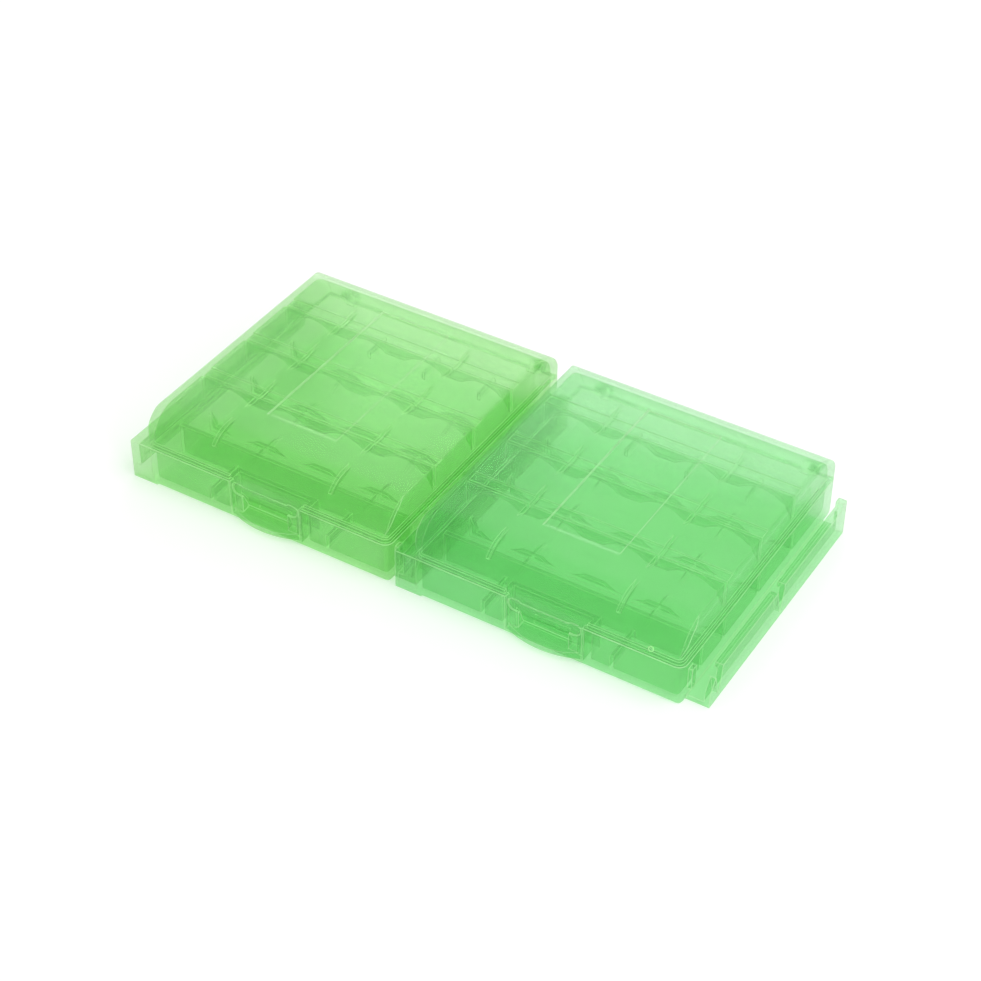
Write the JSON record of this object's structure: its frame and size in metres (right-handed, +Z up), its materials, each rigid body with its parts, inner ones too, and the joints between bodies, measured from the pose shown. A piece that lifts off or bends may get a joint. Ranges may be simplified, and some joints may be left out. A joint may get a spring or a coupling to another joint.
{
  "type": "battery storage case",
  "caption": "Pair of flat hinged cases of clear green plastic for round cells, hooked side by side by rails, each with a ribbed inside and a front snap latch.",
  "frame": {"origin": "on the ground in the middle of the pair: midway between the two cases and midway along their depth, on the underside of the rail that joins them", "axes": "+X to the right across the two cases, +Y from the latches to the hinges, +Z up"},
  "size_m": [0.1356, 0.0706, 0.018],
  "materials": {
    "left_green": "clear yellowish green moulded polypropylene, gloss",
    "right_green": "clear green moulded polypropylene, gloss"
  },
  "bodies": {
    "left_base": {"left_base": "left_green"},
    "left_lid": {"left_lid": "left_green"},
    "right_base": {"right_base": "right_green"},
    "right_lid": {"right_lid": "right_green"}
  },
  "joints": [
    {"name": "left_hinge", "type": "hinge", "parent": "left_base", "child": "left_lid", "pos_m": [-0.03305, 0.0339, 0.00945], "axis": [-1, 0, 0], "range_deg": [0, 170]},
    {"name": "rail_slide", "type": "slide", "parent": "left_base", "child": "right_base", "axis": [0, -1, 0], "range_m": [0, 0.058]},
    {"name": "right_hinge", "type": "hinge", "parent": "right_base", "child": "right_lid", "pos_m": [0.03305, 0.0339, 0.00945], "axis": [-1, 0, 0], "range_deg": [0, 170]}
  ]
}
